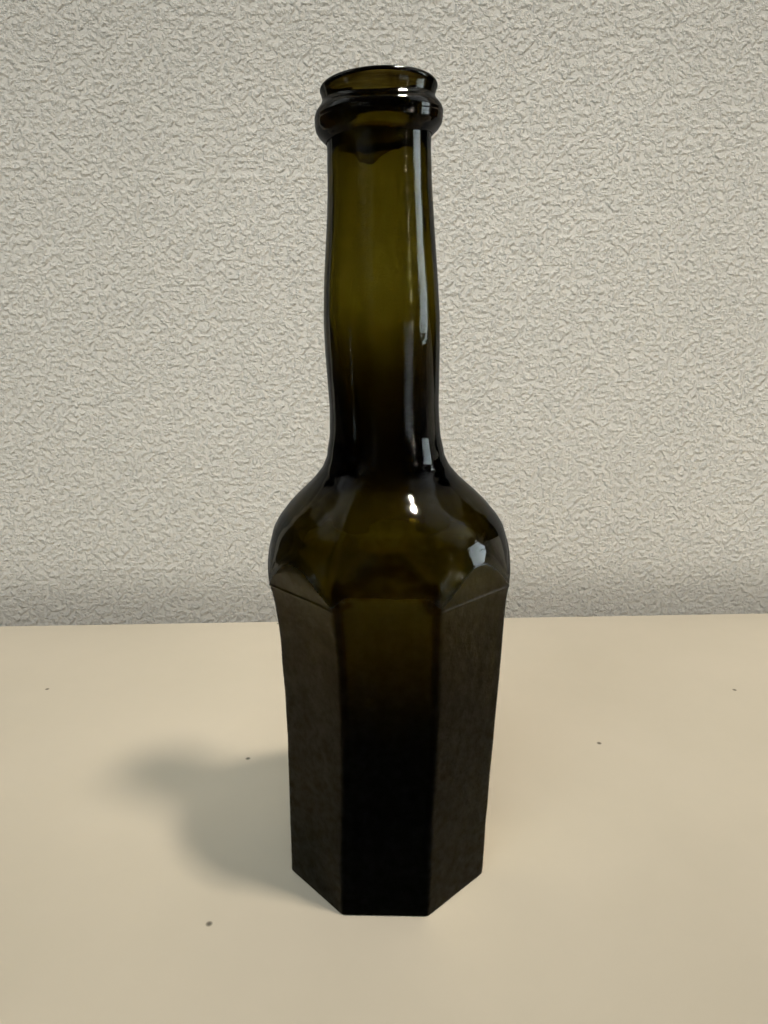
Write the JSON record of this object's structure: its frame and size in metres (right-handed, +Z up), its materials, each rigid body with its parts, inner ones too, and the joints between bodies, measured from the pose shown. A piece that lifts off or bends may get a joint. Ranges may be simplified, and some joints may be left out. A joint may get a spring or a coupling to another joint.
{
  "type": "octagonal bottle",
  "caption": "Octagonal glass bottle with flat side panels, a rounded shoulder, a long neck, and a laid-on ring under its flared lip.",
  "frame": {"origin": "centre of the bottle's footprint, on the face that it stands on", "axes": "+Z up the neck to the mouth, -Y out of the front panel, +X to the right as seen from the front"},
  "size_m": [0.0586, 0.0583, 0.1909],
  "materials": {
    "olive_glass": "dark olive, glossy"
  },
  "bodies": {
    "root": {"blown_body": "olive_glass", "laid_on_ring": "olive_glass"}
  },
  "joints": []
}
